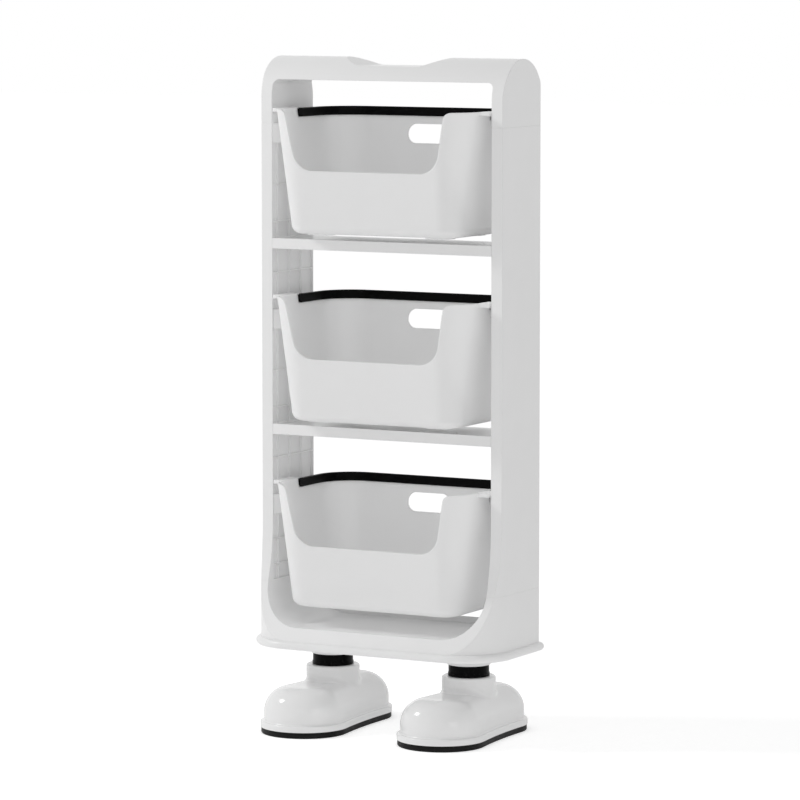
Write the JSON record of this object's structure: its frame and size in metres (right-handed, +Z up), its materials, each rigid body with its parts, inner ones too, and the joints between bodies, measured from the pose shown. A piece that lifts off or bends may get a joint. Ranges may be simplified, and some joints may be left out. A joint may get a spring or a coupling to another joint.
{
  "type": "storage organizer",
  "caption": "Tall narrow storage rack standing on boot shaped feet, with tapered pull-out baskets that have low fronts and black bail handles.",
  "frame": {"origin": "on the floor, under the middle of the two boots", "axes": "+Z up, +X to the right seen from the front, the front faces -Y"},
  "size_m": [0.365, 0.2384, 0.8695],
  "materials": {
    "white_shell": "gloss moulded",
    "white_basket": "satin moulded",
    "black_plastic": "satin moulded",
    "black_sole": "matte",
    "steel": "zinc plated"
  },
  "bodies": {
    "frame": {"base_tray": "white_shell", "top_cap": "white_shell", "side_panel_left": "white_shell", "side_panel_right": "white_shell", "shelf_upper": "white_shell", "shelf_lower": "white_shell", "leg_left": "black_plastic", "leg_right": "black_plastic", "boot_left": "white_shell", "boot_right": "white_shell", "sole_left": "black_sole", "sole_right": "black_sole", "leg_bolts": "steel", "leg_washers": "steel"},
    "basket_upper": {"basket_upper": "white_basket"},
    "handle_upper": {"handle_upper": "black_plastic"},
    "basket_middle": {"basket_middle": "white_basket"},
    "handle_middle": {"handle_middle": "black_plastic"},
    "basket_lower": {"basket_lower": "white_basket"},
    "handle_lower": {"handle_lower": "black_plastic"}
  },
  "joints": [
    {"name": "basket_upper_slide", "type": "slide", "parent": "frame", "child": "basket_upper", "axis": [0, -1, 0], "range_m": [0, 0.14]},
    {"name": "handle_upper_swing", "type": "hinge", "parent": "basket_upper", "child": "handle_upper", "pos_m": [0, -0.0043, 0.7976], "axis": [1, 0, 0], "range_deg": [0, 26]},
    {"name": "basket_middle_slide", "type": "slide", "parent": "frame", "child": "basket_middle", "axis": [0, -1, 0], "range_m": [0, 0.14]},
    {"name": "handle_middle_swing", "type": "hinge", "parent": "basket_middle", "child": "handle_middle", "pos_m": [0, -0.0043, 0.557], "axis": [1, 0, 0], "range_deg": [0, 38]},
    {"name": "basket_lower_slide", "type": "slide", "parent": "frame", "child": "basket_lower", "axis": [0, -1, 0], "range_m": [0, 0.14]},
    {"name": "handle_lower_swing", "type": "hinge", "parent": "basket_lower", "child": "handle_lower", "pos_m": [0, -0.0043, 0.3164], "axis": [1, 0, 0], "range_deg": [0, 38]}
  ]
}
